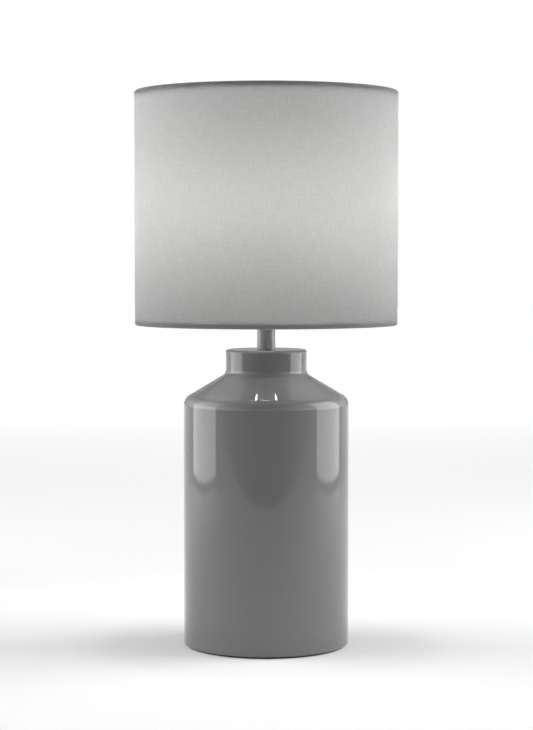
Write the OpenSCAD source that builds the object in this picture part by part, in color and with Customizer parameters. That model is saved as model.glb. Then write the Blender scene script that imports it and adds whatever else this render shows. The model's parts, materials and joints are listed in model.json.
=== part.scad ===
// Table lamp: a glazed ceramic base with a sloping shoulder and a collar, a short metal stem,
// a screw lampholder with a push-bar switch, a bulb, and a fabric drum shade on a wire spider.
// The lamp stands on z = 0 and its axis is Z. Its front faces -Y and its mains inlet faces +Y.

/* [Ceramic base] */
// Radius of the straight body
body_r = 88.3; // [72:0.1:108]
// Height of the corner between the body and the shoulder, above the table
body_h = 264.6; // [200:0.1:320]
// Rise of the sloping shoulder
shoulder_rise = 26.7; // [20:0.1:36]
// Radius of the collar
collar_r = 43.3; // [35:0.1:53]
// Height of the collar above the shoulder
collar_h = 26; // [18:0.1:36]
// Wall of the base, which is the same all over
base_wall = 6; // [4:0.5:8]
// Rounding between the body and the shoulder
shoulder_fillet = 12.5; // [9:0.5:15]
// Rounding between the shoulder and the collar
neck_fillet = 6.5; // [2:0.5:9]
// Rounding of the collar's top edge
collar_edge = 3; // [1:0.5:3.5]
// Rounding of the foot's outer edge
foot_edge = 1.5; // [0.5:0.5:2.5]

/* [Underside] */
// Thickness of the felt pad
pad_t = 1.5; // [1:0.5:4]
// Distance of the felt's edge inside the body
pad_inset = 3; // [1:0.5:5]
// Thickness of the fibreboard cover over the hollow
cover_t = 2.5; // [1.5:0.5:4]

/* [Mains inlet] */
// Height of the inlet's axis
inlet_z = 16; // [15:1:60]
// Radius of the bore that the mains lead passes through
inlet_bore_r = 3.2; // [2.5:0.1:4]
// Wall of the inlet bush
bush_wall = 2; // [1.5:0.1:2.5]

/* [Rod and stem] */
// Radius of the threaded rod
rod_r = 5; // [4.2:0.1:6]
// Radius of the hole along the rod
rod_bore_r = 3.5; // [2.9:0.1:4]
// Radius of the stem tube
stem_r = 9.75; // [8.75:0.05:12]
// Wall of the stem tube
stem_wall = 1.2; // [0.8:0.1:1.6]
// Length of the stem tube
stem_l = 28.2; // [20:0.1:60]
// Thickness of the gasket under the stem
gasket_t = 0.8; // [0.5:0.1:1.5]
// Height of the rod's nuts
nut_h = 4; // [3:0.5:6]

/* [Lampholder] */
// Outer radius of the threaded skirt
skirt_r = 20; // [17.5:0.1:24]
// Height of the threaded skirt above the shade's seat
skirt_h = 28; // [24:0.5:34]
// Wall of the skirt
skirt_wall = 1.8; // [1.4:0.1:2.2]
// Height of the lampholder's lower cap
cap_h = 20.5; // [20:0.5:26]
// Thickness of the flange that the shade rests on
flange_t = 4.3; // [3:0.1:6]
// Radius of the switch's push bar
bar_r = 3; // [2.5:0.1:3.6]
// Travel of the push bar
bar_travel = 5; // [3:0.5:6]
// Height of the shade ring nut
ring_nut_h = 11; // [8:0.5:14]

/* [Bulb] */
// Radius of the globe
globe_r = 30; // [26:0.5:36]
// Crest radius of the screw cap's thread
screw_r = 13.1; // [11:0.1:13.2]
// Height of the screw cap
screw_h = 20; // [18:0.5:24]
// Height of the plastic housing above the screw cap
housing_h = 31; // [26:1:38]

/* [Shade] */
// Outer radius of the drum
shade_r = 140; // [115:1:170]
// Height of the drum
shade_h = 248; // [200:1:300]
// Thickness of the fabric
fabric_t = 0.5; // [0.3:0.1:0.8]
// Thickness of the styrene liner
liner_t = 0.4; // [0.3:0.1:0.8]
// Radius of the wire in the two rims
rim_wire_r = 1.5; // [1.25:0.05:2]
// Radius of the spider's arms
arm_r = 1.75; // [1.5:0.05:2.1]
// Distance of the shade's bottom edge below the fitter ring
spider_drop = 33.4; // [25:0.1:45]
// Height of the fabric that is turned in behind each rim wire, above the wire's centre
turn_in = 5.5; // [4:0.5:12]

/* [Hidden] */
$fn = 96;

body_gap = 0.3;      // air between pieces that move past each other
fit_gap = 0.1;       // clearance of a piece that drops into or over another
cut = 1;             // how far a cutter runs past the face that it opens
rod_hole_r = rod_r + 0.3;

// Ceramic base
collar_top = body_h + shoulder_rise + collar_h;
roof_z = collar_top - base_wall;
slope = atan(shoulder_rise / (body_r - collar_r));
inner_drop = base_wall * (1 - sin(slope)) / cos(slope);
inner_r = body_r - base_wall;
collar_hole_r = rod_r + 2;

// Clamp under the collar's roof
clamp_t = 2;
clamp_r = collar_r - base_wall - 11;
spring_t = 2;
spring_r = rod_r + 4.5;
nut_r = (rod_r + 3.5) / cos(30);
clamp_z = roof_z - clamp_t;
spring_z = clamp_z - spring_t;
bottom_nut_z = spring_z - nut_h;
rod_z = bottom_nut_z - 6;

// Stem
stem_z = collar_top + gasket_t;
stem_top = stem_z + stem_l;
stem_bush_h = 5;
washer_t = 1.2;
top_nut_z = stem_top + washer_t;
top_nut_r = (rod_r + 2) / cos(30);

// Lampholder
cap_z = top_nut_z + nut_h;
cap_wall = 2.5;
cap_neck_r = rod_r + 6;
cap_neck_h = 5;
cap_boss_h = 9;
rod_end_z = cap_z + cap_boss_h - 0.5;
skirt_z = cap_z + cap_h;
seat_z = skirt_z + flange_t;
skirt_bore_r = skirt_r - skirt_wall;
spigot_r = skirt_r - cap_wall - fit_gap;
spigot_bore_r = spigot_r - 1.9;
spigot_h = 3;
flange_r = skirt_r + 3.5;
thread_pitch = 2.5;
thread_depth = 0.6;
insert_h = 7;
insert_top = skirt_z + insert_h;
terminal_y = spigot_bore_r - 5.5;

// Switch
bar_z = cap_z + cap_boss_h + bar_r + 1.5;
button_r = bar_r + 1.5;
button_l = 6;
button_socket = 4;
button_edge = 1.2;
button_stop = skirt_r + 0.6;
bridge_t = 0.6;
carrier_t = 1;
contact_t = skirt_z - (bar_z + bar_r + carrier_t + bridge_t) - 0.6;

// Bulb and its screw socket
screw_pitch = 3.63;
screw_depth = 0.7;
shell_wall = 0.5;
shell_r = screw_r + body_gap;
shell_floor = 0.5;
shell_hole_r = 6;
tongue_t = 0.5;
tongue_rise = 3.7;
tongue_w = 4;
bulb_z = insert_top + tongue_rise + tongue_t + 0.4;
tip_r = 4.2;
tip_h = 1.6;
insulator_h = 3.8;
screw_z = bulb_z + tip_h + insulator_h;
housing_z = screw_z + screw_h;
housing_top = housing_z + housing_h;
housing_wall = 1.5;
plug_h = 9;
plug_r = screw_r - screw_depth - 0.5;
globe_seat_r = globe_r * 0.81;
globe_z = housing_top + sqrt(globe_r * globe_r - globe_seat_r * globe_seat_r);
globe_wall = 1;
board_t = 1.6;
board_pocket = 3.6;
board_r = globe_seat_r - 2.9;
chip_count = 10;
chip = [3, 3, 0.8];
driver = [18, 1.2, 30];

// Shade
fitter_z = seat_z + body_gap;
fitter_t = 1.5;
fitter_bore_r = skirt_r + 1.2;
fitter_r = fitter_bore_r + 5.8;
ring_nut_z = fitter_z + fitter_t + body_gap;
shade_z = fitter_z - spider_drop;
shade_top = shade_z + shade_h;
roll_gap = 0.1;
roll_r = rim_wire_r + roll_gap + fabric_t;
rim_r = shade_r - roll_r;
bottom_rim_z = shade_z + roll_r;
top_rim_z = shade_top - roll_r;
liner_r = shade_r - fabric_t - 0.05;
liner_edge = roll_r + rim_wire_r + 0.3;
slit_w = 2 * arm_r + 1.2;
seam_w = 12;
seam_t = 0.4;
arm_z = fitter_z - arm_r;
arm_start_r = flange_r + 1.2;
arm_knee_r = fitter_r + 30;
arm_ankle_r = rim_r - 8;
bend_r = arm_r + 0.05;  // the wire swells slightly where it's bent
weld = 0.5;

// Corners are [r, z, rounding], anticlockwise round the outline.
function along(from, to) = (to - from) / norm(to - from);
function xy(corner) = [corner[0], corner[1]];
function before(list, i) = xy(list[(i + len(list) - 1) % len(list)]);
function after(list, i) = xy(list[(i + 1) % len(list)]);
function half_angle(list, i) =
    acos(along(xy(list[i]), before(list, i)) * along(xy(list[i]), after(list, i))) / 2;
function bisector(list, i) =
    let (sum = along(xy(list[i]), before(list, i)) + along(xy(list[i]), after(list, i)))
    sum / norm(sum);
function is_convex(list, i) =
    cross(xy(list[i]) - before(list, i), after(list, i) - xy(list[i])) > 0;
function rounding_centre(list, i) =
    xy(list[i]) + bisector(list, i) * list[i][2] / sin(half_angle(list, i));
function trimmed(list) = [
    for (i = [0 : len(list) - 1])
        let (reach = list[i][2] / tan(half_angle(list, i)))
        for (end = [before(list, i), after(list, i)])
            if (list[i][2] > 0 || end == after(list, i))
                xy(list[i]) + along(xy(list[i]), end) * reach];

// A closed outline whose corners are rounded by true arcs.
module outline(corners) {
    difference() {
        union() {
            polygon(trimmed(corners));
            for (i = [0 : len(corners) - 1])
                if (corners[i][2] > 0 && is_convex(corners, i))
                    translate(rounding_centre(corners, i)) circle(r = corners[i][2]);
        }
        for (i = [0 : len(corners) - 1])
            if (corners[i][2] > 0 && !is_convex(corners, i))
                translate(rounding_centre(corners, i)) circle(r = corners[i][2]);
    }
}

// A flat ring or tube that stands on z.
module ring(outer, inner, z, h) {
    translate([0, 0, z]) difference() {
        cylinder(r = outer, h = h);
        translate([0, 0, -cut]) cylinder(r = inner, h = h + 2 * cut);
    }
}

// A hexagonal nut that stands on z.
module hex_nut(corner_r, z, h) {
    translate([0, 0, z]) difference() {
        cylinder(r = corner_r, h = h, $fn = 6);
        translate([0, 0, -cut]) cylinder(r = rod_r + 0.05, h = h + 2 * cut);
    }
}

// A cylinder along X from x0 to x1.
module x_bar(x0, x1, r, z) {
    translate([x0, 0, z]) rotate([0, 90, 0]) cylinder(r = r, h = x1 - x0);
}

// Base

module felt_pad() {
    color("dimgray") cylinder(r = body_r - pad_inset, h = pad_t);
}

module base_cover() {
    color("peru") translate([0, 0, pad_t]) cylinder(r = inner_r - 4 * fit_gap, h = cover_t);
}

module ceramic_body() {
    outside = [
        [0, pad_t, 0], [body_r, pad_t, foot_edge], [body_r, body_h, shoulder_fillet],
        [collar_r, body_h + shoulder_rise, neck_fillet], [collar_r, collar_top, collar_edge],
        [0, collar_top, 0]];
    hollow = [
        [0, pad_t - cut, 0], [inner_r, pad_t - cut, 0],
        [inner_r, body_h - inner_drop, shoulder_fillet / 2],
        [collar_r - base_wall, body_h + shoulder_rise - inner_drop, neck_fillet],
        [collar_r - base_wall, roof_z, collar_edge],
        [0, roof_z, 0]];
    color("gray") difference() {
        rotate_extrude() difference() {
            outline(outside);
            outline(hollow);
        }
        translate([0, 0, roof_z - cut]) cylinder(r = collar_hole_r, h = base_wall + 2 * cut);
        inlet(inlet_bore_r + bush_wall + fit_gap, inner_r - base_wall, body_r + cut);
    }
}

// A cylinder along the mains inlet's axis, from y0 to y1.
module inlet(r, y0, y1) {
    translate([0, y0, inlet_z]) rotate([-90, 0, 0]) cylinder(r = r, h = y1 - y0);
}

module cord_bush() {
    lip_r = inlet_bore_r + bush_wall + 1;
    lip_y = sqrt(inner_r * inner_r - lip_r * lip_r) - fit_gap;
    flange_y = body_r + fit_gap;
    color("dimgray") difference() {
        union() {
            inlet(inlet_bore_r + bush_wall, lip_y - 2, flange_y + 2);
            inlet(lip_r, lip_y - 2, lip_y);
            inlet(lip_r + 1, flange_y, flange_y + 2);
        }
        inlet(inlet_bore_r, lip_y - 2 - cut, flange_y + 2 + cut);
    }
}

module clamp_plate() {
    color("silver") ring(clamp_r, rod_hole_r, clamp_z, clamp_t);
}

module spring_washer() {
    split_w = 1.5;
    color("silver") difference() {
        ring(spring_r, rod_hole_r, spring_z, spring_t);
        translate([0, -split_w / 2, spring_z - cut])
            cube([spring_r + cut, split_w, spring_t + 2 * cut]);
    }
}

module bottom_nut() {
    color("gold") hex_nut(nut_r, bottom_nut_z, nut_h);
}

module threaded_rod() {
    color("gold") ring(rod_r, rod_bore_r, rod_z, rod_end_z - rod_z);
}

module collar_bush() {
    color("white") ring(collar_hole_r - fit_gap, rod_r + fit_gap, roof_z, base_wall);
}

// Stem

module stem_gasket() {
    color("black") ring(stem_r - 0.2, rod_hole_r, collar_top, gasket_t);
}

module stem_tube() {
    color("silver") ring(stem_r, stem_r - stem_wall, stem_z, stem_l);
}

module stem_bush(z) {
    color("white") ring(stem_r - stem_wall - fit_gap, rod_r + fit_gap, z, stem_bush_h);
}

module stem_bush_lower() {
    stem_bush(stem_z);
}

module stem_bush_upper() {
    stem_bush(stem_top - stem_bush_h);
}

module top_washer() {
    color("silver") ring(stem_r, rod_hole_r, stem_top, washer_t);
}

module top_nut() {
    color("gold") hex_nut(top_nut_r, top_nut_z, nut_h);
}

// Lampholder

module holder_cap() {
    wide_z = cap_z + cap_neck_h + (skirt_r - cap_neck_r) * 0.72;
    outside = [
        [0, cap_z, 0], [cap_neck_r, cap_z, 1], [cap_neck_r, cap_z + cap_neck_h, 2],
        [skirt_r, wide_z, 3], [skirt_r, skirt_z, 0], [0, skirt_z, 0]];
    floor_z = cap_z + cap_boss_h;
    cavity_r = skirt_r - cap_wall;
    hollow = [
        [0, floor_z, 0], [cavity_r - 4, floor_z, 0], [cavity_r, floor_z + 4, 0],
        [cavity_r, skirt_z + cut, 0], [0, skirt_z + cut, 0]];
    color("black") difference() {
        rotate_extrude() difference() {
            outline(outside);
            outline(hollow);
        }
        translate([0, 0, cap_z - cut]) cylinder(r = rod_r + 0.05, h = cap_boss_h + 2 * cut);
        x_bar(-skirt_r - cut, skirt_r + cut, bar_r + fit_gap, bar_z);
        grub(1.55, cap_neck_r + cut);
    }
}

// A cylinder of the grub screw's place, from the rod out to the back.
module grub(r, end) {
    start = rod_r + fit_gap;
    translate([0, start, cap_z + 2.6]) rotate([-90, 0, 0]) cylinder(r = r, h = end - start);
}

module grub_screw() {
    end = cap_neck_r - 0.5;
    color("silver") difference() {
        grub(1.5, end);
        translate([-1.5 - cut, end - 0.8, cap_z + 2.3]) cube([3 + 2 * cut, 0.8 + cut, 0.6]);
    }
}

module holder_skirt() {
    crests = floor(skirt_h / thread_pitch);
    thread = [
        for (i = [0 : crests - 1], half = [0, 0.5])
            [skirt_r - (half > 0 ? thread_depth : 0), seat_z + (i + half) * thread_pitch]];
    color("black") rotate_extrude() polygon(concat(
        [[spigot_bore_r, skirt_z - spigot_h], [spigot_r, skirt_z - spigot_h],
         [spigot_r, skirt_z], [flange_r, skirt_z], [flange_r, seat_z]],
        thread,
        [[skirt_r, seat_z + crests * thread_pitch], [skirt_r, seat_z + skirt_h],
         [skirt_bore_r, seat_z + skirt_h], [skirt_bore_r, skirt_z], [spigot_bore_r, skirt_z]]));
}

module holder_insert() {
    color("white") difference() {
        translate([0, 0, skirt_z]) cylinder(r = skirt_bore_r - fit_gap, h = insert_h);
        for (side = [-1, 1]) {
            translate([0, side * terminal_y, skirt_z - cut]) cylinder(r = 1.55, h = cut + 5.1);
            translate([side * terminal_y * 0.8, terminal_y * 0.8, skirt_z - cut])
                cylinder(r = 1.8, h = insert_h + 2 * cut);
        }
    }
}

// Zigzag of a screw thread from z0 up to z1, between radii r and r + swing.
function zigzag(r, swing, z0, z1) =
    let (turns = floor((z1 - z0) / screw_pitch))
    [for (i = [0 : 2 * turns]) [r + (i % 2 == 0 ? 0 : swing), z0 + i * screw_pitch / 2]];
function reversed(list) = [for (i = [len(list) - 1 : -1 : 0]) list[i]];
function shifted(list, step) = [for (point = list) point + step];

module screw_shell() {
    foot_z = insert_top + shell_floor;
    inside = zigzag(shell_r, screw_depth, foot_z + 1, seat_z + skirt_h - 2);
    color("gold") rotate_extrude() polygon(concat(
        [[shell_hole_r, insert_top], [shell_r + shell_wall, insert_top]],
        shifted(inside, [shell_wall, 0]),
        reversed(inside),
        [[shell_r, foot_z], [shell_hole_r, foot_z]]));
}

module centre_contact() {
    foot = shell_hole_r - 1;
    color("gold") translate([0, tongue_w / 2, insert_top]) rotate([90, 0, 0])
        linear_extrude(height = tongue_w) polygon([
            [-foot, 0], [-1, 0], [2, tongue_rise], [foot, tongue_rise],
            [foot, tongue_rise + tongue_t], [1.6, tongue_rise + tongue_t],
            [-1.4, tongue_t], [-foot, tongue_t]]);
}

module terminal_screws() {
    color("silver") for (side = [-1, 1]) translate([0, side * terminal_y, skirt_z]) {
        difference() {
            translate([0, 0, -2]) cylinder(r = 2.6, h = 2);
            translate([-3, -0.4, -2 - cut]) cube([6, 0.8, 0.8 + cut]);
        }
        cylinder(r = 1.5, h = 5);
    }
}

// Switch

module switch_contacts() {
    color("gold") for (side = [-1, 1])
        translate([side * 7 - 2, -2, skirt_z - contact_t]) cube([4, 4, contact_t]);
}

module switch_bar() {
    flat_z = bar_z + bar_r - 0.4;
    color("ivory") difference() {
        x_bar(-button_stop - button_socket, button_stop + bar_travel + button_socket, bar_r, bar_z);
        translate([-5, -bar_r - cut, flat_z]) cube([10 + bar_travel, 2 * (bar_r + cut), cut]);
    }
}

// A push button whose inner face is at the origin and which points along +X.
module switch_button() {
    difference() {
        union() {
            rotate([0, 90, 0]) cylinder(r = button_r, h = button_l - button_edge);
            translate([button_l - button_edge, 0, 0]) rotate([0, 90, 0])
                cylinder(r1 = button_r, r2 = button_r - button_edge, h = button_edge);
        }
        translate([-cut, 0, 0]) rotate([0, 90, 0]) cylinder(r = bar_r + 0.05, h = button_socket + cut);
    }
}

module switch_button_left() {
    color("ivory") translate([-button_stop, 0, bar_z]) mirror([1, 0, 0]) switch_button();
}

module switch_button_right() {
    color("ivory") translate([button_stop + bar_travel, 0, bar_z]) switch_button();
}

module switch_bridge() {
    flat_z = bar_z + bar_r - 0.4;
    color("gold") {
        translate([-4, -2.5, flat_z]) cube([8, 5, carrier_t + 0.4]);
        translate([-8, -1.5, flat_z + carrier_t + 0.4]) cube([16, 3, bridge_t]);
    }
}

// Shade ring nut

module shade_ring_nut() {
    bore_r = skirt_r + body_gap;
    grip_r = bore_r + 4.2;
    grips = 24;
    color("black") difference() {
        union() {
            translate([0, 0, ring_nut_z]) cylinder(r = fitter_r + 1, h = 3);
            translate([0, 0, ring_nut_z]) cylinder(r = grip_r, h = ring_nut_h);
        }
        translate([0, 0, ring_nut_z - cut]) cylinder(r = bore_r, h = ring_nut_h + 2 * cut);
        for (i = [0 : grips - 1]) rotate([0, 0, i * 360 / grips])
            translate([grip_r + 0.5, 0, ring_nut_z + 3]) cylinder(r = 1.1, h = ring_nut_h, $fn = 24);
    }
}

// Shade

module fitter_ring() {
    color("white") ring(fitter_r, fitter_bore_r, fitter_z, fitter_t);
}

// A round rod between two points of the plane that holds the axis and X.
module rod_between(from, to, r) {
    reach = to - from;
    translate([from[0], 0, from[1]]) rotate([0, atan2(reach[0], reach[1]), 0])
        cylinder(r = r, h = norm(reach));
}

function arm_angle(i) = 90 + (i - 1) * 120;

module spider_arm(i) {
    points = [
        [arm_start_r, arm_z], [arm_knee_r, arm_z],
        [arm_ankle_r, bottom_rim_z], [rim_r - rim_wire_r + weld, bottom_rim_z]];
    color("white") rotate([0, 0, arm_angle(i)]) {
        for (k = [0 : len(points) - 2]) rod_between(points[k], points[k + 1], arm_r);
        for (k = [1 : len(points) - 2]) translate([points[k][0], 0, points[k][1]]) sphere(r = bend_r);
    }
}

module wire_ring(z) {
    color("white") rotate_extrude() translate([rim_r, z]) circle(r = rim_wire_r);
}

module shade_bottom_ring() {
    wire_ring(bottom_rim_z);
}

module shade_top_ring() {
    wire_ring(top_rim_z);
}

module shade_liner() {
    color("white") ring(liner_r, liner_r - liner_t, shade_z + liner_edge, shade_h - 2 * liner_edge);
}

module shade_seam_strip() {
    z = bottom_rim_z + turn_in + 1;
    outer = liner_r - liner_t - 0.05;
    color("white") intersection() {
        ring(outer, outer - seam_t, z, top_rim_z - turn_in - 1 - z);
        translate([-seam_w / 2, 0, z]) cube([seam_w, shade_r, shade_h]);
    }
}

// Section of the turned-in edge: the fabric goes round the wire and stands up behind it.
// It's drawn with the wire's centre at the origin and the shade's body above it.
module rolled_edge() {
    difference() {
        circle(r = roll_r);
        circle(r = roll_r - fabric_t);
        translate([-2 * roll_r, 0]) square([4 * roll_r, 2 * roll_r]);
    }
    translate([-roll_r, 0]) square([fabric_t, turn_in]);
}

module shade_fabric() {
    color("lightgray") difference() {
        rotate_extrude() {
            translate([shade_r - fabric_t, bottom_rim_z]) square([fabric_t, top_rim_z - bottom_rim_z]);
            translate([rim_r, bottom_rim_z]) rolled_edge();
            translate([rim_r, top_rim_z]) mirror([0, 1]) rolled_edge();
        }
        for (i = [1 : 3]) rotate([0, 0, arm_angle(i)])
            translate([rim_r - 10, -slit_w / 2, shade_z - cut])
                cube([10 - rim_wire_r + weld + fit_gap, slit_w, roll_r + turn_in + 2 * cut]);
    }
}

// Bulb

module bulb_contact() {
    color("silver") translate([0, 0, bulb_z]) {
        cylinder(r1 = tip_r - 1, r2 = tip_r, h = 0.6);
        translate([0, 0, 0.6]) cylinder(r = tip_r, h = tip_h - 0.6);
    }
}

module bulb_insulator() {
    color("black") translate([0, 0, bulb_z + tip_h])
        cylinder(r1 = tip_r + 0.8, r2 = screw_r - 1.6, h = insulator_h);
}

module bulb_screw_cap() {
    wall = 0.4;
    outside = zigzag(screw_r - screw_depth, screw_depth, screw_z, housing_z - 1);
    color("silver") rotate_extrude() polygon(concat(
        outside,
        [[screw_r - screw_depth, housing_z], [screw_r - screw_depth - wall, housing_z]],
        reversed(shifted(outside, [-wall, 0]))));
}

module bulb_housing() {
    neck_r = screw_r - fit_gap;
    floor_r = plug_r - housing_wall;
    pocket_z = housing_top - board_pocket;
    color("white") rotate_extrude() polygon([
        [floor_r, housing_z - plug_h], [plug_r, housing_z - plug_h], [plug_r, housing_z],
        [neck_r, housing_z], [neck_r, housing_z + 2], [globe_seat_r + 0.2, housing_top],
        [board_r + 0.2, housing_top], [board_r + 0.2, pocket_z], [board_r - 2.2, pocket_z],
        [floor_r, housing_z + 2]]);
}

module driver_board() {
    color("green") translate([-driver[0] / 2, -driver[1] / 2, housing_z - plug_h + 3]) cube(driver);
}

module led_board() {
    color("silver") translate([0, 0, housing_top - board_pocket]) cylinder(r = board_r, h = board_t);
}

module led_chips() {
    color("khaki") for (i = [0 : chip_count - 1]) rotate([0, 0, i * 360 / chip_count])
        translate([board_r * 0.7 - chip[0] / 2, -chip[1] / 2, housing_top - board_pocket + board_t])
            cube(chip);
}

module bulb_globe() {
    color("white") difference() {
        translate([0, 0, globe_z]) sphere(r = globe_r);
        translate([0, 0, globe_z]) sphere(r = globe_r - globe_wall);
        translate([0, 0, housing_top - 2 * globe_r]) cylinder(r = globe_r + cut, h = 2 * globe_r);
    }
}

felt_pad();
base_cover();
ceramic_body();
cord_bush();
clamp_plate();
spring_washer();
bottom_nut();
threaded_rod();
collar_bush();
stem_gasket();
stem_tube();
stem_bush_lower();
stem_bush_upper();
top_washer();
top_nut();
holder_cap();
grub_screw();
holder_skirt();
holder_insert();
screw_shell();
centre_contact();
terminal_screws();
switch_contacts();
switch_bar();
switch_button_left();
switch_button_right();
switch_bridge();
shade_ring_nut();
fitter_ring();
spider_arm(1);  // spider_arm_1
spider_arm(2);  // spider_arm_2
spider_arm(3);  // spider_arm_3
shade_bottom_ring();
shade_top_ring();
shade_liner();
shade_seam_strip();
shade_fabric();
bulb_contact();
bulb_insulator();
bulb_screw_cap();
bulb_housing();
driver_board();
led_board();
led_chips();
bulb_globe();
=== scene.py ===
"""Looks of a table lamp: a glazed ceramic base, a short metal stem and a lit drum shade of woven cloth.

Everything is in metres, in the CAD's frame: +Z up along the lamp's axis, -Y the front.
"""
import json
import math

import bpy
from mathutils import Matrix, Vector

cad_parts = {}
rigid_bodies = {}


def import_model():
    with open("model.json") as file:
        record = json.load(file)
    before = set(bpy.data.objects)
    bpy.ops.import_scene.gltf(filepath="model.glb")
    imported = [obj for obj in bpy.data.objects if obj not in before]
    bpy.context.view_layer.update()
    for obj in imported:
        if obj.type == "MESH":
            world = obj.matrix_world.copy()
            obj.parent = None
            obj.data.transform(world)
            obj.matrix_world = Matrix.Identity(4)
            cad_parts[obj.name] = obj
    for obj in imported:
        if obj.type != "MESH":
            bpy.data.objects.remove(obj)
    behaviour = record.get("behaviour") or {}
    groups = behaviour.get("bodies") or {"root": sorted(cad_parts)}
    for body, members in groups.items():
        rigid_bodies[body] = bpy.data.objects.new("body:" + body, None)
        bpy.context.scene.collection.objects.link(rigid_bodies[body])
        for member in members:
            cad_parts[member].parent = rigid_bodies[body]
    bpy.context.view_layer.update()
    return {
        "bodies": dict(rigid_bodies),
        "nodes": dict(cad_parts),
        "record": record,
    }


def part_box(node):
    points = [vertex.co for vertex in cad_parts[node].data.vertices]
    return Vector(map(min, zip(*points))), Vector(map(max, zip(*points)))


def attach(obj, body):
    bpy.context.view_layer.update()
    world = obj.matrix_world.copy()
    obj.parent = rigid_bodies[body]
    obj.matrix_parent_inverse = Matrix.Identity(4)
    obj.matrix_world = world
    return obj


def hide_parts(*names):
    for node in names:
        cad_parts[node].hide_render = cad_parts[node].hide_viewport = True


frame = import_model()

MM = 0.001
TURN = 2 * math.pi


# ---------------------------------------------------------------- node helpers

class Nodes:
    """Short calls for building one node tree."""

    def __init__(self, tree):
        self.tree = tree

    def add(self, kind, inputs=None, **settings):
        node = self.tree.nodes.new(kind)
        for name, value in settings.items():
            setattr(node, name, value)
        for name, value in (inputs or {}).items():
            socket = node.inputs[name]
            if isinstance(value, bpy.types.NodeSocket):
                self.tree.links.new(value, socket)
            else:
                socket.default_value = value
        return node

    def math(self, operation, a, b=0.0):
        return self.add("ShaderNodeMath", {0: a, 1: b}, operation=operation).outputs[0]

    def ramp(self, value, low, high, to_low=0.0, to_high=1.0):
        return self.add("ShaderNodeMapRange", {
            "Value": value, "From Min": low, "From Max": high,
            "To Min": to_low, "To Max": to_high}).outputs["Result"]

    def mix(self, factor, a, b):
        node = self.tree.nodes.new("ShaderNodeMix")
        node.data_type = "RGBA"
        for socket, value in ((node.inputs[0], factor), (node.inputs[6], a), (node.inputs[7], b)):
            if isinstance(value, bpy.types.NodeSocket):
                self.tree.links.new(value, socket)
            else:
                socket.default_value = value
        return node.outputs[2]

    def noise(self, vector, scale, detail=2.0, roughness=0.5):
        return self.add("ShaderNodeTexNoise", {
            "Vector": vector, "Scale": scale, "Detail": detail, "Roughness": roughness}).outputs["Fac"]

    def stretched(self, vector, factors):
        return self.add("ShaderNodeVectorMath", {0: vector, 1: factors}, operation="MULTIPLY").outputs[0]

    def bump(self, height, strength, distance):
        return self.add("ShaderNodeBump", {
            "Height": height, "Strength": strength, "Distance": distance}).outputs["Normal"]


def grey(value):
    return (value, value, value, 1.0)


def new_material(name):
    material = bpy.data.materials.new(name)
    material.use_nodes = True
    material.node_tree.nodes.clear()
    return material, Nodes(material.node_tree)


def finish_material(nodes, shader):
    output = nodes.add("ShaderNodeOutputMaterial")
    nodes.tree.links.new(shader, output.inputs["Surface"])


def plain_finish(name, dark, light, roughness, grain, bump, metallic=0.0):
    """A finish whose colour and roughness wander a little between two shades, with a fine grain."""
    material, n = new_material(name)
    place = n.add("ShaderNodeTexCoord").outputs["Object"]
    cloud = n.noise(place, 35.0, 3.0)
    fine = n.noise(place, grain, 2.0)
    finish_material(n, n.add("ShaderNodeBsdfPrincipled", {
        "Base Color": n.mix(cloud, dark, light),
        "Roughness": n.ramp(fine, 0.3, 0.7, roughness * 0.85, roughness * 1.15),
        "Metallic": metallic,
        "Normal": n.bump(fine, bump, 0.0004),
    }).outputs[0])
    return material


# ---------------------------------------------------------------- materials

def glaze():
    """Grey glossy glaze: nearly even, with the faint ripple of a fired surface."""
    material, n = new_material("grey_glaze")
    place = n.add("ShaderNodeTexCoord").outputs["Object"]
    pool = n.noise(place, 9.0, 3.0)
    speck = n.noise(place, 900.0, 1.0)
    colour = n.mix(pool, grey(0.13), grey(0.15))
    colour = n.mix(n.ramp(speck, 0.62, 0.75, 0.0, 0.25), colour, grey(0.1))
    ripple = n.noise(place, 60.0, 2.0)
    finish_material(n, n.add("ShaderNodeBsdfPrincipled", {
        "Base Color": colour,
        "Roughness": n.ramp(pool, 0.3, 0.7, 0.04, 0.06),
        "IOR": 1.5,
        "Normal": n.bump(ripple, 0.03, 0.0006),
    }).outputs[0])
    return material


def gloss_grey_metal():
    """Grey enamel on the stem tube, with very fine drawn lines along it."""
    material, n = new_material("gloss_grey_metal")
    place = n.add("ShaderNodeTexCoord").outputs["Object"]
    drawn = n.noise(n.stretched(place, (1.0, 1.0, 0.03)), 1500.0, 2.0)
    cloud = n.noise(place, 50.0)
    finish_material(n, n.add("ShaderNodeBsdfPrincipled", {
        "Base Color": n.mix(cloud, grey(0.24), grey(0.27)),
        "Roughness": n.ramp(drawn, 0.3, 0.7, 0.03, 0.05),
        "IOR": 1.5,
        "Normal": n.bump(drawn, 0.005, 0.0001),
    }).outputs[0])
    return material


WEAVE_PITCH = 0.62 * MM


def weave_height(n, along, across):
    """Height of a plain weave: each yarn bows over one neighbour and under the next."""
    over = n.math("MULTIPLY", n.math("SINE", along), n.math("SINE", across))
    along_rib = n.math("ABSOLUTE", n.math("SINE", along))
    across_rib = n.math("ABSOLUTE", n.math("SINE", across))
    ribs = n.math("ADD", along_rib, across_rib)
    return n.math("ADD", n.math("MULTIPLY", over, 0.5), n.math("MULTIPLY", ribs, 0.5))


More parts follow.
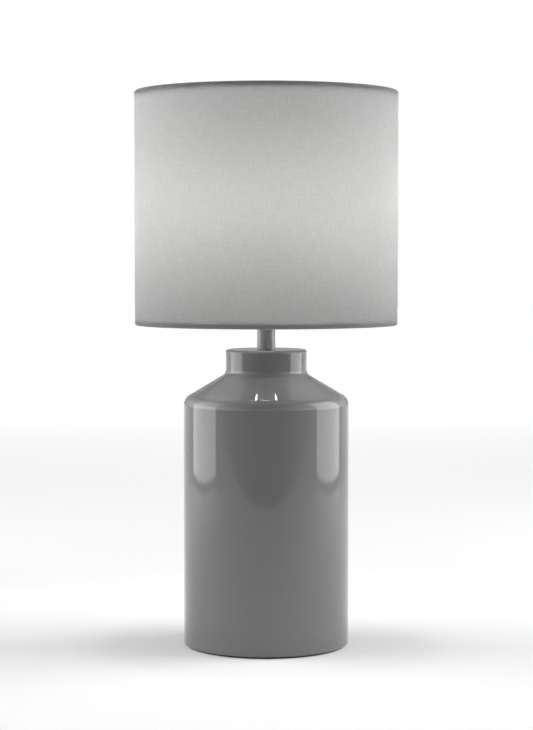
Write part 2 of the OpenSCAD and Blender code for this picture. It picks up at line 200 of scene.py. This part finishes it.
def shade_cloth():
    """Plain-woven cloth with slubs both ways, which lets part of the bulb's light through."""
    material, n = new_material("shade_cloth")
    flat = n.add("ShaderNodeUVMap", uv_map="cut").outputs[0]      # metres along and up the flat cut
    split = n.add("ShaderNodeSeparateXYZ", {0: flat})
    turns = math.pi / WEAVE_PITCH
    along = n.math("MULTIPLY", split.outputs[0], turns)
    up = n.math("MULTIPLY", split.outputs[1], turns)
    weave = weave_height(n, along, up)
    weft_slub = n.noise(n.stretched(flat, (70.0, 900.0, 1.0)), 1.0, 2.0, 0.6)
    warp_slub = n.noise(n.stretched(flat, (900.0, 70.0, 1.0)), 1.0, 2.0, 0.6)
    slubs = n.math("ADD", n.math("MULTIPLY", weft_slub, 0.5), n.math("MULTIPLY", warp_slub, 0.5))
    shade = n.ramp(slubs, 0.3, 0.7, 0.0, 1.0)
    colour = n.mix(shade, grey(0.045), grey(0.06))
    # Painted shade: the low points between the yarns are darkened towards grey 0.02, as if shaded.
    colour = n.mix(n.ramp(weave, 0.0, 1.0, 0.35, 0.0), colour, grey(0.02))
    normal = n.bump(n.math("ADD", n.math("MULTIPLY", weave, 0.6), slubs), 0.5, 0.00015)
    surface = n.add("ShaderNodeBsdfPrincipled", {
        "Base Color": colour,
        "Roughness": 0.9,
        "Specular IOR Level": 0.15,
        "Sheen Weight": 0.06,
        "Sheen Roughness": 0.5,
        "Normal": normal,
    }).outputs[0]
    through = n.add("ShaderNodeBsdfTranslucent", {
        "Color": n.mix(shade, grey(0.46), grey(0.56)), "Normal": normal}).outputs[0]
    finish_material(n, n.add("ShaderNodeAddShader", {0: surface, 1: through}).outputs[0])
    return material


def styrene():
    """Milky liner behind the cloth."""
    material, n = new_material("styrene_liner")
    place = n.add("ShaderNodeTexCoord").outputs["Object"]
    cloud = n.noise(place, 12.0, 2.0)
    surface = n.add("ShaderNodeBsdfPrincipled", {
        "Base Color": n.mix(cloud, grey(0.72), grey(0.76)),
        "Roughness": 0.35,
        "Normal": n.bump(n.noise(place, 300.0), 0.05, 0.0002),
    }).outputs[0]
    through = n.add("ShaderNodeBsdfTranslucent", {"Color": n.mix(cloud, grey(0.94), grey(0.97))}).outputs[0]
    finish_material(n, n.add("ShaderNodeMixShader", {0: 0.85, 1: surface, 2: through}).outputs[0])
    return material


def opal():
    """The opal globe's own weak glow, which rises towards its crown. What lights the shade is bulb_light."""
    material, n = new_material("opal_globe")
    place = n.add("ShaderNodeTexCoord").outputs["Object"]
    height = n.add("ShaderNodeSeparateXYZ", {0: place}).outputs[2]
    low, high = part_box("bulb_globe")
    finish_material(n, n.add("ShaderNodeBsdfPrincipled", {
        "Base Color": n.mix(n.noise(place, 40.0), grey(0.82), grey(0.88)),
        "Roughness": 0.3,
        "Emission Color": (1.0, 0.985, 0.96, 1.0),
        "Emission Strength": n.ramp(height, low.z, high.z, 3.0, 6.0),
    }).outputs[0])
    return material


MATERIALS = {
    "felt": lambda: plain_finish("dark_felt", grey(0.012), grey(0.02), 0.95, 900.0, 0.6),
    "fibreboard": lambda: plain_finish(
        "fibreboard", (0.2, 0.13, 0.07, 1), (0.3, 0.2, 0.12, 1), 0.85, 700.0, 0.3),
    "glaze": glaze,
    "dark_rubber": lambda: plain_finish("dark_rubber", grey(0.015), grey(0.025), 0.7, 600.0, 0.1),
    "grey_rubber": lambda: plain_finish("grey_rubber", grey(0.13), grey(0.16), 0.5, 600.0, 0.05),
    "zinc_steel": lambda: plain_finish(
        "zinc_steel", (0.5, 0.51, 0.53, 1), (0.62, 0.62, 0.6, 1), 0.32, 500.0, 0.05, metallic=1.0),
    "brass": lambda: plain_finish(
        "brass", (0.62, 0.44, 0.18, 1), (0.75, 0.56, 0.27, 1), 0.28, 500.0, 0.05, metallic=1.0),
    "nylon": lambda: plain_finish("nylon", (0.7, 0.69, 0.64, 1), (0.76, 0.75, 0.7, 1), 0.5, 500.0, 0.05),
    "stem_metal": gloss_grey_metal,
    "black_phenolic": lambda: plain_finish("black_phenolic", grey(0.012), grey(0.02), 0.3, 600.0, 0.08),
    "porcelain": lambda: plain_finish(
        "porcelain", (0.78, 0.76, 0.7, 1), (0.84, 0.82, 0.77, 1), 0.45, 500.0, 0.1),
    "ivory_plastic": lambda: plain_finish(
        "ivory_plastic", (0.68, 0.64, 0.52, 1), (0.72, 0.68, 0.57, 1), 0.3, 500.0, 0.04),
    "white_wire": lambda: plain_finish("white_enamel", grey(0.7), grey(0.76), 0.35, 500.0, 0.05),
    "styrene": styrene,
    "bulb_metal": lambda: plain_finish("bulb_metal", grey(0.62), grey(0.72), 0.25, 500.0, 0.04, metallic=1.0),
    "bulb_plastic": lambda: plain_finish("bulb_plastic", grey(0.74), grey(0.78), 0.35, 500.0, 0.04),
    "circuit_board": lambda: plain_finish(
        "circuit_board", (0.02, 0.16, 0.07, 1), (0.03, 0.2, 0.09, 1), 0.4, 300.0, 0.1),
    "aluminium_board": lambda: plain_finish(
        "aluminium_board", grey(0.7), grey(0.78), 0.4, 300.0, 0.05, metallic=0.3),
    "led_phosphor": lambda: plain_finish(
        "led_phosphor", (0.8, 0.6, 0.1, 1), (0.86, 0.68, 0.18, 1), 0.5, 400.0, 0.05),
    "opal": opal,
    "shade_cloth": shade_cloth,
}


def dress_nodes(materials):
    """Gives every CAD node the material of its slot in the record."""
    for entry in frame["record"]["subparts"]:
        mesh = frame["nodes"][entry["node"]].data
        mesh.materials.clear()
        mesh.materials.append(materials[entry["material_slot"]])


# ---------------------------------------------------------------- shade fabric

def arc(centre, radius, start, end, steps):
    """Points on an arc in the (radius, height) plane; angles in degrees."""
    return [
        (centre[0] + radius * math.cos(math.radians(start + (end - start) * i / steps)),
         centre[1] + radius * math.sin(math.radians(start + (end - start) * i / steps)))
        for i in range(steps + 1)]


def line(start, end, steps):
    return [
        (start[0] + (end[0] - start[0]) * i / steps, start[1] + (end[1] - start[1]) * i / steps)
        for i in range(1, steps)]


def make_fabric(material):
    """One strip of cloth, wrapped round the frame and lapped at the back, its edges rolled over the wires."""
    low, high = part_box("shade_fabric")
    wire_low, wire_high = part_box("shade_bottom_ring")
    thickness = 0.5 * MM
    lap = 10 * MM
    tuck = 5.5 * MM
    wall_r = high.x - thickness / 2
    wire_r = (wire_high.z - wire_low.z) / 2
    rim_r = wire_high.x - wire_r
    roll = wall_r - rim_r
    bottom = (wire_high.z + wire_low.z) / 2
    top = high.z - (bottom - low.z)
    tuck_r = rim_r - roll
    lower = [(tuck_r, bottom + tuck), *line((tuck_r, bottom + tuck), (tuck_r, bottom), 3)]
    lower += arc((rim_r, bottom), roll, 180, 360, 14)
    upper = arc((rim_r, top), roll, 0, 180, 14)
    upper += [*line((tuck_r, top), (tuck_r, top - tuck), 3), (tuck_r, top - tuck)]
    profile = lower + line((wall_r, bottom), (wall_r, top), 30) + upper

    columns = 480
    sweep = TURN + lap / wall_r
    lap_lift = 0.3 * MM
    lift_start = TURN - 0.06
    lift_turn = 0.04
    back = math.pi / 2
    vertices, faces, cut_uv = [], [], []
    cloth_up = [0.0]
    for before, after in zip(profile, profile[1:]):
        cloth_up.append(cloth_up[-1] + math.dist(before, after))
    for i in range(columns + 1):
        turned = sweep * i / columns
        angle = back - lap / (2 * wall_r) + turned
        lift = lap_lift * min(1.0, max(0.0, (turned - lift_start) / lift_turn))
        for (r, z), up in zip(profile, cloth_up):
            vertices.append(((r + lift) * math.cos(angle), (r + lift) * math.sin(angle), z))
            cut_uv.append((turned * wall_r, up))
    rows = len(profile)
    slit_rows = [k for k in range(rows - 1) if max(profile[k][0], profile[k + 1][0]) < rim_r
                 and profile[k][1] < (bottom + top) / 2]
    arms = [math.radians(a) for a in (90, 210, 330)]
    slit_half = 2.6 * MM / rim_r
    for i in range(columns):
        middle = back - lap / (2 * wall_r) + sweep * (i + 0.5) / columns
        beside_arm = any(abs(math.remainder(middle - a, TURN)) < slit_half for a in arms)
        for k in range(rows - 1):
            if beside_arm and k in slit_rows:
                continue
            a = i * rows + k
            faces.append((a, a + rows, a + rows + 1, a + 1))

    mesh = bpy.data.meshes.new("shade_cloth")
    mesh.from_pydata(vertices, [], faces)
    layer = mesh.uv_layers.new(name="cut")
    for loop in mesh.loops:
        layer.data[loop.index].uv = cut_uv[loop.vertex_index]
    mesh.shade_smooth()
    mesh.materials.append(material)
    cloth = bpy.data.objects.new("shade_cloth", mesh)
    bpy.context.scene.collection.objects.link(cloth)
    solid = cloth.modifiers.new("thickness", "SOLIDIFY")
    solid.thickness = thickness
    solid.offset = 0.0
    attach(cloth, "shade")
    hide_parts("shade_fabric")
    return cloth


# ---------------------------------------------------------------- camera, floor and light

def aim(obj, place, target):
    obj.location = place
    obj.rotation_euler = (Vector(target) - Vector(place)).to_track_quat("-Z", "Y").to_euler()


CAMERA_PLACE = (0.0003, -2.174, 0.417)
CAMERA_TILT = -3.073        # degrees from level


def make_camera():
    data = bpy.data.cameras.new("camera")
    data.lens = 100.34
    data.sensor_width = 36.0
    data.sensor_fit = "AUTO"
    data.clip_end = 100.0
    camera = bpy.data.objects.new("camera", data)
    bpy.context.scene.collection.objects.link(camera)
    camera.location = CAMERA_PLACE
    camera.rotation_euler = (math.radians(90 + CAMERA_TILT), 0, 0)
    bpy.context.scene.camera = camera


def make_floor():
    """A pale floor. It stops in front of the lamp, and far behind it glows a little, to stay near white."""
    material, n = new_material("white_floor")
    place = n.add("ShaderNodeTexCoord").outputs["Object"]
    behind = n.add("ShaderNodeSeparateXYZ", {"Vector": place}).outputs[1]
    glow_start = 0.4
    glow_full = 3.2
    glow = 0.42
    finish_material(n, n.add("ShaderNodeBsdfPrincipled", {
        "Base Color": n.mix(n.noise(place, 3.0), grey(0.9), grey(0.92)),
        "Roughness": 0.9,
        "Specular IOR Level": 0.0,
        "Emission Color": (1, 1, 1, 1),
        "Emission Strength": n.ramp(behind, glow_start, glow_full, 0.0, glow),
    }).outputs[0])
    size = 14.0
    front = -1.35
    mesh = bpy.data.meshes.new("floor")
    corners = [(-size, front, 0), (size, front, 0), (size, size, 0), (-size, size, 0)]
    mesh.from_pydata(corners, [], [(0, 1, 2, 3)])
    mesh.materials.append(material)
    floor = bpy.data.objects.new("floor", mesh)
    bpy.context.scene.collection.objects.link(floor)


PANEL_ANGLE = 95.9          # degrees round from the front
PANEL_DISTANCE = 1.5
PANEL_WIDTH = 1.30
LOW_PANEL = (0.02, 0.7)     # bottom edge and height
HIGH_PANEL = (0.72, 1.5)


def softbox(name, side_angle, bottom, height, strength):
    """An upright panel of light beside the lamp; side_angle is from the front, positive to the right."""
    data = bpy.data.lights.new(name, "AREA")
    data.shape = "RECTANGLE"
    data.size = PANEL_WIDTH
    data.size_y = height
    data.energy = strength * PANEL_WIDTH * height * math.pi
    light = bpy.data.objects.new(name, data)
    bpy.context.scene.collection.objects.link(light)
    angle = math.radians(side_angle)
    middle = bottom + height / 2
    place = (PANEL_DISTANCE * math.sin(angle), -PANEL_DISTANCE * math.cos(angle), middle)
    aim(light, place, (0, 0, middle))
    light.visible_camera = False


def bulb_light(power):
    """The light that the globe gives, from a sphere just outside it, so that its mesh doesn't block it.

    Mirror reflections leave it out, and show the globe's own glow instead.
    """
    gap = 1.5 * MM
    low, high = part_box("bulb_globe")
    radius = (high.x - low.x) / 2
    data = bpy.data.lights.new("bulb_light", "POINT")
    data.energy = power
    data.color = (1.0, 0.985, 0.965)
    data.shadow_soft_size = radius + gap
    data.use_soft_falloff = False
    light = bpy.data.objects.new("bulb_light", data)
    bpy.context.scene.collection.objects.link(light)
    light.location = (0, 0, high.z - radius)
    light.visible_glossy = False
    light.visible_camera = False
    light.parent = frame["bodies"]["bulb"]


def make_world():
    """Soft light, mostly from both sides and little from above. The camera sees it as plain white."""
    world = bpy.data.worlds.new("studio")
    bpy.context.scene.world = world
    world.use_nodes = True
    world.node_tree.nodes.clear()
    n = Nodes(world.node_tree)
    place = n.add("ShaderNodeTexCoord").outputs["Generated"]
    split = n.add("ShaderNodeSeparateXYZ", {0: place})
    flat = n.stretched(place, (1.0, 1.0, 0.0))
    level = n.add("ShaderNodeVectorMath", {0: flat}, operation="NORMALIZE").outputs[0]
    across = n.add("ShaderNodeSeparateXYZ", {0: level}).outputs[0]
    sideways = n.math("MULTIPLY", across, across)
    banks = n.ramp(sideways, 0.1, 1.0, 0.4, 2.7)
    height = split.outputs[2]
    above = n.ramp(height, 0.2, 0.95, 1.0, 0.1)
    below = n.ramp(height, -0.02, 0.02, 0.15, 1.0)
    sky = n.math("MULTIPLY", banks, n.math("MULTIPLY", above, below))
    seen = n.add("ShaderNodeLightPath").outputs["Is Camera Ray"]
    strength = n.add("ShaderNodeMix", {0: seen, 2: sky, 3: 1.0}).outputs[0]
    background = n.add("ShaderNodeBackground", {"Color": grey(1.0), "Strength": strength})
    output = n.add("ShaderNodeOutputWorld")
    n.tree.links.new(background.outputs[0], output.inputs["Surface"])


def make_studio():
    scene = bpy.context.scene
    scene.view_settings.view_transform = "Standard"
    scene.view_settings.look = "None"
    make_world()
    make_floor()
    for side, angle, low, high in (("left", -PANEL_ANGLE, 2.9, 1.5), ("right", PANEL_ANGLE, 2.8, 3.0)):
        softbox(side + "_low", angle, *LOW_PANEL, low)
        softbox(side + "_high", angle, *HIGH_PANEL, high)
    bulb_light(1.25)


# ---------------------------------------------------------------- build

make_camera()
make_studio()
finishes = {slot: make() for slot, make in MATERIALS.items()}
dress_nodes(finishes)
make_fabric(finishes["shade_cloth"])
